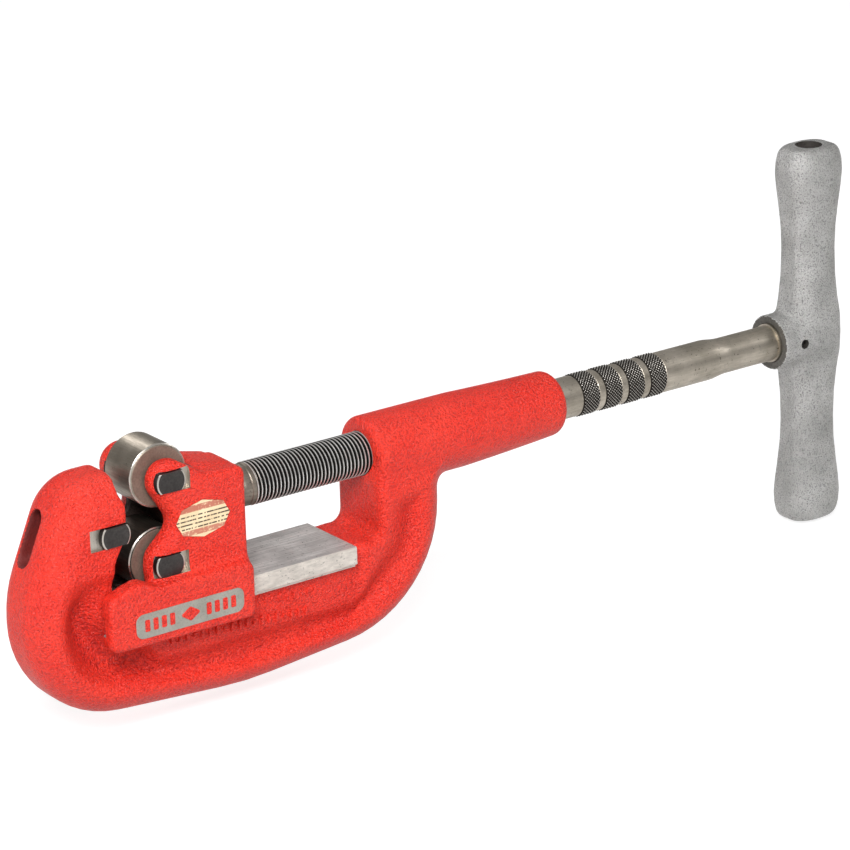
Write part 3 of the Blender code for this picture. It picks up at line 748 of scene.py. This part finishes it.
def slide_casting():
    low, high, step = (-131.5, -29.6, -56.6), (-49.0, 29.6, 34.4), 0.8
    field = slide_field(*axes(low, high, step))
    body = piece_of("slide_casting", skin("slide_casting", field, low, step), [RED, POCKET_SHADE],
                    "housing", ["slide_housing"], angle=0)

    # Faces between the cheeks get the near-black painted shade.
    def inside(x, y, z):
        rooms = np.minimum(*(np.hypot(x - a, z - b) for a, b in (UPPER_ROLL, LOWER_ROLL))) < ROLL_R + 2.6
        return np.where((np.abs(y) < CHEEK_GAP + 0.9) & (z < 24) & (rooms | (x < -80)), 1, 0)
    mark_faces(body, inside)
    channel = block("channel", (-150, -RAIL_HALF - 0.3, RAIL_TOP - RAIL_THICK - 0.3),
                    (-30, RAIL_HALF + 0.3, RAIL_TOP + 0.3))
    cutters = [helper("channel", channel, RAIL_STEEL)]
    for x, z in (UPPER_ROLL, LOWER_ROLL):
        seat = block("seat", (x - 8.0, -40, z - HEAD_FLAT - 0.4),
                     (x + 10.4, -CHEEK_HALF + 2.4, z + HEAD_FLAT + 0.4))
        cutters += [drilled("hole", PIN_R + PIN_FREE, paint=CUT_STEEL, at=(x, 0, z)),
                    helper("seat", seat, CUT_STEEL),
                    drilled("clip_seat", PIN_R + 3.4, CHEEK_HALF - 0.4, paint=CUT_STEEL, at=(x, 0, z))]
    nose = turned("nose_bore", [(-78, 8.6), (-52.6, 8.6), (-30, 12.0)], "X", 64)
    cutters.append(helper("nose", nose, CUT_STEEL))
    for sign in (-1, 1):
        cutters.append(drilled("retaining_hole", 2.3, -6, paint=CUT_STEEL, at=(DOWEL_X, 0, sign * DOWEL_Z)))
    seat = extruded("label_seat", label_outline(0.35), -CHEEK_HALF - 5, -CHEEK_HALF + 0.25)
    cutters.append(helper("label_seat", seat, RED, LABEL_AT))
    carve(body, *cutters)
    nameplate()


def raised(name, outline, height, side):
    """A slab of this outline that stands out of the skirt, bevelled on its outer side."""
    mesh = extruded(name, outline, -SKIRT_OUT - height, -SKIRT_OUT + 1.0, "Y", 0.15)
    if side > 0:
        mesh.transform(Matrix.Scale(-1, 4, (0, 1, 0)))
        facing_out(mesh)
    return mesh


def nameplate():
    """A bare round-cornered pad on each side of the skirt, with a red lozenge between red bars."""
    pad = rounded([(-117, -37.8, 4), (-58, -37.8, 4), (-58, -49.8, 4), (-117, -49.8, 4)], 6)
    middle_x, middle_z = -87.5, -43.8
    marks = [rounded([(middle_x - 5.5, middle_z, 0.8), (middle_x, middle_z + 3.6, 0.8),
                      (middle_x + 5.5, middle_z, 0.8), (middle_x, middle_z - 3.6, 0.8)], 4)]
    low, high = middle_z - 2.9, middle_z + 2.9
    for sign in (-1, 1):
        for out in (10, 14.5, 19, 23.5):
            x = middle_x + sign * out
            marks.append(rounded([(x - 1.3, low, 0.6), (x + 1.3, low, 0.6), (x + 1.3, high, 0.6),
                                  (x - 1.3, high, 0.6)], 4))
    for side, word in SIDES:
        plate = raised("nameplate", pad, 0.22, side)
        piece_of(f"nameplate_{word}", plate, [PLATE_IRON], "housing", ())
        for number, outline in enumerate(marks):
            piece_of(f"nameplate_mark_{word}_{number}", raised("mark", outline, 0.5, side), [RED],
                     "housing", ())


def label_outline(margin):
    """The housing label's cartouche: a long eight-sided shape that comes to a point on every side."""
    wide, high = 14.6 + margin, 9.0 + margin
    return [(-wide, 0), (-wide + 3.4, -6.2), (0, -high), (wide - 3.4, -6.2), (wide, 0), (wide - 3.4, 6.2),
            (0, high), (-wide + 3.4, 6.2)]


def housing_label():
    mesh = extruded("printed_label", label_outline(0), -CHEEK_HALF - 0.05, -CHEEK_HALF + 0.2)
    piece_of("printed_label", mesh, [LABEL], "housing", ["housing_label"], LABEL_AT)


# Rolls, wheel, pins and clips

def roll(name, centre, paint):
    """A bored roll with stepped, rounded rims."""
    near, far, r = -ROLL_HALF + 0.8, ROLL_HALF - 1.2, ROLL_R + 0.35
    edge = [(0, PIN_R + 1.2), (0, r - 1.3), (0.15, r - 1.1), (0.3, r - 0.5), (0.75, r)]
    profile = [(near + past, out) for past, out in edge] + [(far - past, out) for past, out in edge[::-1]]
    mesh = turned(name, profile, "Y", 128, bore=PIN_R + PIN_FREE,
                  paints=[1, 1, 0, 2, 0, 2, 0, 1, 1, 1, 1, 1])
    piece_of(f"{name}_steel", mesh, [paint, ROLL_FACE, WORN_EDGE], name, [name],
             (centre[0], 0, centre[1]))


def cutter_wheel():
    hub, blade, r = 7.6, 1.6, WHEEL_R
    profile = [(-WHEEL_HALF, hub - 0.8), (-WHEEL_HALF + 0.8, hub), (-blade - 1.6, hub), (-blade, hub + 1.6),
               (-0.9, r - 3.4), (-0.08, r), (0.08, r), (0.9, r - 3.4), (blade, hub + 1.6),
               (blade + 1.6, hub), (WHEEL_HALF - 0.8, hub), (WHEEL_HALF, hub - 0.8)]
    mesh = turned("cutter_wheel", profile, "Y", 128, bore=PIN_R + PIN_FREE,
                  paints=[1, 0, 0, 0, 1, 1, 1, 0, 0, 0, 1, 0])
    piece_of("cutting_wheel_steel", mesh, [WHEEL, WORN_EDGE], "cutter_wheel", ["cutter_wheel"],
             (WHEEL_X, 0, 0))


def headed_pin(name, body, at, face, length):
    """A pin whose head has two flats, grooved near its far end. It gives the groove's place along Y."""
    shaft, neck, under = PIN_R - 0.02, PIN_R - 1.2, face + HEAD_THICK
    tail = under + length
    profile = [(face, HEAD_R - 0.9), (face + 0.35, HEAD_R - 0.25), (face + 0.9, HEAD_R), (under, HEAD_R),
               (under, shaft), (tail - 3.2, shaft), (tail - 3.2, neck), (tail - 1.4, neck),
               (tail - 1.4, shaft), (tail - 0.5, shaft), (tail, shaft - 0.5)]
    mesh = turned(name, profile, "Y", 72, paints=[1, 0, 0, 0, 0, 0, 0, 0, 0, 1])
    mesh.polygons.foreach_set("material_index",
                              [0 if len(p.vertices) > 4 else p.material_index for p in mesh.polygons])
    pin = piece_of(f"{name}_steel", mesh, [BLACK_OXIDE, WORN_EDGE], body, [name], at)
    flats = [block("flat", (-20, face - 5, low), (20, under + 0.3, high))
             for low, high in ((-20, -HEAD_FLAT), (HEAD_FLAT, 20))]
    carve(pin, *[helper("flat", flat, BLACK_OXIDE, at) for flat in flats])
    return tail - 2.3


def clip(name, body, at, middle):
    """A spring clip in a pin's groove: a flat ring with a gap below."""
    inner, outer, half = PIN_R - 0.8, PIN_R + 2.2, 0.6
    profile = [(middle - half, outer - 0.25), (middle - half + 0.25, outer),
               (middle + half - 0.25, outer), (middle + half, outer - 0.25)]
    ring = piece_of(f"{name}_ring", turned(name, profile, "Y", 72, bore=inner), [BLACK_OXIDE], body,
                    [name], at)
    split = block("split", (-2.4, middle - 5, -20), (2.4, middle + 5, 0))
    carve(ring, helper("split", split, BLACK_OXIDE, at))


# The screw

def thread_mesh(left, right, sides=72):
    """A helical thread between two places along X, each turn a root, a flank, a crest and a flank."""
    shape = [(0.0, THREAD_ROOT), (0.18, THREAD_ROOT), (0.46, THREAD_R), (0.62, THREAD_R),
             (0.90, THREAD_ROOT)]
    turns = int((right - left) / PITCH) - 1
    steps, width = turns * sides, len(shape)
    index = np.arange(steps + sides + 1)
    angle = index * 2 * math.pi / sides
    points = []
    for part, radius in shape:
        along = left + PITCH * (index / sides + part)
        points.append(np.stack([along, radius * np.cos(angle), radius * np.sin(angle)], 1))
    points = np.stack(points, 1).reshape(-1, 3)
    i = np.arange(steps)
    faces = [np.stack([i * width + k, (i + 1) * width + k, (i + 1) * width + k + 1, i * width + k + 1], 1)
             for k in range(width - 1)]
    last, after = i * width + width - 1, (i + sides) * width
    faces.append(np.stack([last, last + width, after + width, after], 1))
    return facing_out(mesh_from("thread", points, np.concatenate(faces)))


def knurl_mesh(start, long=10.6, pitch=1.77, around=38, fine=6):
    """A band of raised diamonds round the shank."""
    rows, sides = int(round(long / pitch * fine)), around * fine
    along, turn = np.meshgrid(np.arange(rows + 1), np.arange(sides), indexing="ij")
    one = np.abs(((along + turn) / fine) % 1 - 0.5) * 2
    two = np.abs(((along - turn) / fine) % 1 - 0.5) * 2
    height = np.minimum(np.minimum(one, two) * 1.35, 1.0)
    ends = np.clip(np.minimum(along, rows - along) / 2.0, 0, 1)
    radius = SHANK_R - 0.25 + (KNURL_R - SHANK_R + 0.25) * height * ends
    angle = turn * 2 * math.pi / sides
    points = np.stack([start + along * long / rows, radius * np.cos(angle), radius * np.sin(angle)], -1)
    i, j = np.meshgrid(np.arange(rows), np.arange(sides), indexing="ij")
    k = (j + 1) % sides
    here, after = i * sides, (i + 1) * sides
    faces = np.stack([here + j, here + k, after + k, after + j], -1).reshape(-1, 4)
    return facing_out(mesh_from("knurl", points.reshape(-1, 3), faces))


def screw_part(name, mesh, paint, angle=35, stands_for=()):
    piece_of(name, mesh, [paint], "screw", stands_for, angle=angle)


def screw_nose():
    """The end that turns in the housing, painted darker as shade, with a groove for the retaining pins."""
    return [(-72, 7.2), (-71, 8.2), (-63.6, 8.2), (-63.5, 5.6), (-58.5, 5.6), (-58.4, 8.2), (-46.6, 8.2),
            (-45.4, 9.0), (-43.8, 9.8), (-42.0, 10.2), (-39.4, 10.3), (-39.1, 10.0), (-38.7, 10.3),
            (-37.0, 10.45), (-36.7, 10.2), (-36.3, 10.5), (-35.6, 10.2), (-35.2, THREAD_ROOT - 0.2)]


def feed_screw():
    starts, long, under = (157.6, 171.9, 186.2, 200.5), 10.6, SHANK_R - 0.3
    screw_part("screw_thread", thread_mesh(-38.5, 87), THREAD, 50, ["feed_screw"])
    core = [(-44, THREAD_ROOT - 0.3), (90, THREAD_ROOT - 0.3)]
    screw_part("screw_core", turned("screw_core", core, "X", 72), THREAD)
    screw_part("screw_nose", turned("screw_nose", screw_nose(), "X", 96), SHADED_NOSE, 30)
    profile = [(83.5, THREAD_ROOT), (84.2, THREAD_R - 0.1), (86, THREAD_R - 0.1), (86.4, SHANK_R)]
    for start in starts:
        end = start + long
        profile += [(start - 0.2, SHANK_R), (start + 0.1, under), (end - 0.1, under), (end + 0.2, SHANK_R)]
    profile += [(242.4, SHANK_R), (245, SHANK_R - 0.1), (249, NECK_R + 0.5), (252.3, NECK_R + 0.1),
                (255, NECK_R), (HUB_LEFT - 1.3, NECK_R), (HUB_LEFT - 1.2, NECK_R + 0.9),
                (HUB_LEFT + 1.4, NECK_R + 0.9), (HUB_LEFT + 1.5, NECK_R), (306, NECK_R)]
    screw_part("screw_shank", turned("screw_shank", profile, "X", 96), SHANK, 40)
    for number, start in enumerate(starts, 1):
        screw_part(f"screw_knurl_{number}", knurl_mesh(start, long), KNURL, 0)


# The T-handle

def handle_field(x, y, z):
    """The bar: a rounded section, wider than deep, that swells at the middle and near both ends."""
    height = np.abs(z)
    wide = np.interp(height, [0, 10, 20, 32, 46, 58, 70, 80, 87, 93, 97, 100.8],
                     [17.8, 17.4, 15.8, 14.6, 14.2, 14.6, 15.9, 17.2, 17.8, 17.4, 16.4, 14.4])
    deep = wide * 0.765
    section = ((np.abs(x - BAR_X) / wide) ** 2.5 + (np.abs(y) / deep) ** 2.5) ** (1 / 2.5)
    bar = (section - 1) * deep
    bar = soft_max(bar, np.abs(x - BAR_X) - (wide - 0.8), 0.25)
    bar = soft_max(bar, height - BAR_HALF, 3.0)
    hub = round_corner(np.hypot(y, z) - HUB_R, np.maximum(HUB_LEFT - x, x - BAR_X - 3), 0.6)
    return soft_min(bar, hub, 2.5)


def t_handle():
    low, high, step = (286.0, -16.0, -103.2), (332.5, 16.0, 103.2), 0.8
    mesh = skin("t_handle", handle_field(*axes(low, high, step)), low, step)
    bar = piece_of("t_handle_casting", mesh, [CAST_ALUMINIUM, HUB_FACE], "screw", ["t_handle"],
                   angle=0)
    mark_faces(bar, lambda x, y, z: (x < HUB_LEFT + 0.35) & (np.hypot(y, z) < HUB_R - 0.7))
    cored, past = BAR_HALF - CORED_DEEP, BAR_HALF + 10
    cutters = [helper("end_hole", turned("end_hole", [(start, 7.0), (end, 7.0)], "Z", 48), SHADED_HOLE,
                      (BAR_X, 0, 0)) for start, end in ((-past, -cored), (cored, past))]
    socket = turned("socket", [(270, 10.5), (HUB_LEFT + 1.7, 10.5), (HUB_LEFT + 1.8, NECK_R + 0.3),
                               (311, NECK_R + 0.3)], "X", 64)
    carve(bar, *cutters, helper("socket", socket, SHADED_HOLE),
          drilled("pin_hole", 2.5, -30, 30, SHADED_HOLE, (HANDLE_PIN_X, 0, 0)))


def dowel(name, profile, body, node, x, z=0):
    piece_of(name, turned("dowel", profile, "Y", 40), [BLACK_OXIDE], body, [node], (x, 0, z))


def small_pieces():
    roll("upper_roll", UPPER_ROLL, ROLL)
    # The lower roll takes the painted-shade copy of the roll steel.
    roll("lower_roll", LOWER_ROLL, SHADED_ROLL)
    cutter_wheel()
    axles = [("upper_roll", "housing", UPPER_ROLL, CHEEK_HALF, 1.0),
             ("lower_roll", "housing", LOWER_ROLL, CHEEK_HALF, 1.0),
             ("wheel", "frame", (WHEEL_X, 0), FRAME_HALF, -0.2)]
    for word, body, (x, z), half, longer in axles:
        groove = headed_pin(f"{word}_pin", body, (x, 0, z), -half - 0.7, 2 * half + longer)
        clip(f"{word}_clip", body, (x, 0, z), groove)
    for word, sign in (("upper", 1), ("lower", -1)):
        profile = [(-5.4, 2.0), (-5.2, 2.2), (CHEEK_HALF - 0.9, 2.2), (CHEEK_HALF - 0.5, 1.8)]
        dowel(f"{word}_dowel", profile, "housing", f"{word}_retaining_pin", DOWEL_X, sign * DOWEL_Z)
    dowel("handle_dowel", [(-11.4, 1.8), (-11.0, 2.2), (11.0, 2.2), (11.4, 1.8)], "screw", "handle_pin",
          HANDLE_PIN_X)
    nut = turned("feed_nut", [(31.2, 13.9), (31.6, 14.3), (65.6, 14.3), (66.0, 13.9)], "X", 72,
                 bore=THREAD_R + 0.1)
    piece_of("feed_nut_iron", nut, [NUT_IRON], "frame", ["feed_nut"])
    disc = turned("thrust_disc", [(-75.3, 7.3), (-75.0, 7.6), (-72.6, 7.6), (-72.3, 7.3)], "X", 48)
    piece_of("thrust_disc_steel", disc, [BLACK_OXIDE], "housing", ["thrust_disc"])


# The room

def stage():
    """A pale floor half a millimetre under the part, that glows a little more to the camera."""
    built = bmesh.new()
    bmesh.ops.create_grid(built, x_segments=1, y_segments=1, size=12)
    floor = new_object("floor", mesh_of("floor", built))
    floor.location = (0, 0, -0.5 * MM)
    made, tree, shader = nodes_of("pale_floor")
    grain = noise(tree, object_place(tree), 3, 2)
    colour = ramp(tree, grain, (0.0, 0.34), (1.0, 0.36))
    seen = tree.nodes.new("ShaderNodeLightPath").outputs["Is Camera Ray"]
    glow = maths(tree, "ADD", times(tree, seen, 0.38), 0.42)
    put(tree, shader, Base_Color=colour, Roughness=0.9, Specular_IOR_Level=0.0,
        Emission_Color=(1.0, 1.0, 1.0), Emission_Strength=glow)
    floor.data.materials.append(made)


def area_light(name, towards, distance, size, power):
    light = bpy.data.lights.new(name, "AREA")
    light.shape, light.size, light.energy = "DISK", size, power
    lamp = new_object(name, light)
    way = Vector(towards).normalized()
    lamp.location = Vector((0.08, 0, 0.1)) + way * distance
    lamp.rotation_mode = "QUATERNION"
    lamp.rotation_quaternion = way.to_track_quat("Z", "Y")


def lighting():
    world = bpy.data.worlds.new("soft_white_room")
    bpy.context.scene.world = world
    world.use_nodes = True
    tree = world.node_tree
    height = parts_of(tree, tree.nodes.new("ShaderNodeTexCoord").outputs["Generated"])[2]
    colour = ramp(tree, maths(tree, "ADD", times(tree, height, 0.5), 0.5),
                  (0.0, 0.5), (0.5, 0.25), (0.62, 0.35), (1.0, 0.9))
    background = tree.nodes["Background"]
    tree.links.new(colour, background.inputs["Color"])
    background.inputs["Strength"].default_value = 0.42
    area_light("key", (-0.75, -0.72, 0.78), 1.7, 0.7, 27)
    area_light("left", (-1.0, 0.15, 0.15), 1.9, 0.5, 5)
    area_light("front", (-0.2, -1.0, 0.35), 2.2, 0.4, 9)
    area_light("right", (1.0, -0.35, 0.5), 2.0, 0.7, 5)
    area_light("back", (0.1, 1.0, 1.0), 1.8, 0.7, 6)
    bpy.context.scene.view_settings.view_transform = "Standard"


def camera():
    """At the front left, looking along +Y and +X and a little down, with a long lens."""
    turn, down, roll_angle = math.radians(35.6), math.radians(19.4), math.radians(-1.6)
    ahead = Vector((math.sin(turn) * math.cos(down), math.cos(turn) * math.cos(down), -math.sin(down)))
    level = Vector((math.cos(turn), -math.sin(turn), 0))
    upward = level.cross(ahead)
    right = math.cos(roll_angle) * level + math.sin(roll_angle) * upward
    up = -math.sin(roll_angle) * level + math.cos(roll_angle) * upward
    spot = Vector((-0.95982, -1.43542, 0.62656)) + ZERO + up * 0.0003
    lens = bpy.data.cameras.new("camera")
    lens.sensor_width, lens.lens, lens.clip_start = 36, 163.78, 0.01
    view = new_object("camera", lens)
    view.matrix_world = Matrix((right, up, -ahead)).transposed().to_4x4()
    view.location = spot
    bpy.context.scene.camera = view


frame_casting()
slide_casting()
housing_label()
small_pieces()
feed_screw()
t_handle()
stage()
lighting()
camera()
